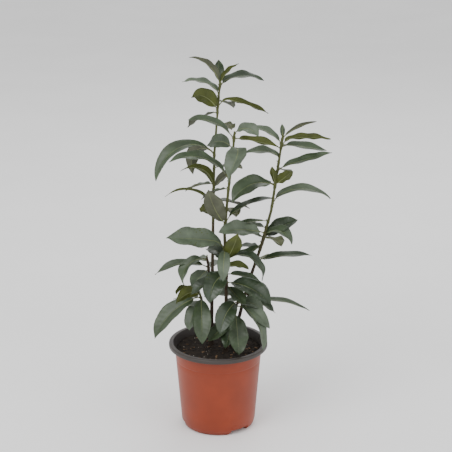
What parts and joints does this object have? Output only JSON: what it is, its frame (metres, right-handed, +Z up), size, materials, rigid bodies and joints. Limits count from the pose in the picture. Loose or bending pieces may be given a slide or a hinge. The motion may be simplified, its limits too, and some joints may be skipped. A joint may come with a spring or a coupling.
{
  "type": "potted cherry laurel",
  "caption": "Young cherry laurel with slender leafy stems and long drooping evergreen leaves, in a round terracotta-coloured plastic nursery pot.",
  "frame": {"origin": "middle of the flat pad under the pot, on the surface the pot stands on", "axes": "+Z up along the pot's axis, +X to the right and +Y away from the viewer of the picture"},
  "size_m": [0.2985, 0.1977, 0.6448],
  "materials": {
    "pot_plastic": "satin",
    "soil": "matte",
    "bark": "matte",
    "foliage": "matte"
  },
  "bodies": {
    "root": {"pot": "pot_plastic", "soil": "soil", "stem_left": "bark", "stem_centre": "bark", "stem_right": "bark", "foliage_left_top": "foliage", "foliage_left_middle": "foliage", "foliage_left_low": "foliage", "foliage_left_skirt": "foliage", "foliage_centre_top": "foliage", "foliage_centre_middle": "foliage", "foliage_centre_low": "foliage", "foliage_centre_skirt": "foliage", "foliage_right_top": "foliage", "foliage_right_middle": "foliage", "foliage_right_low": "foliage", "foliage_right_skirt": "foliage"}
  },
  "joints": []
}
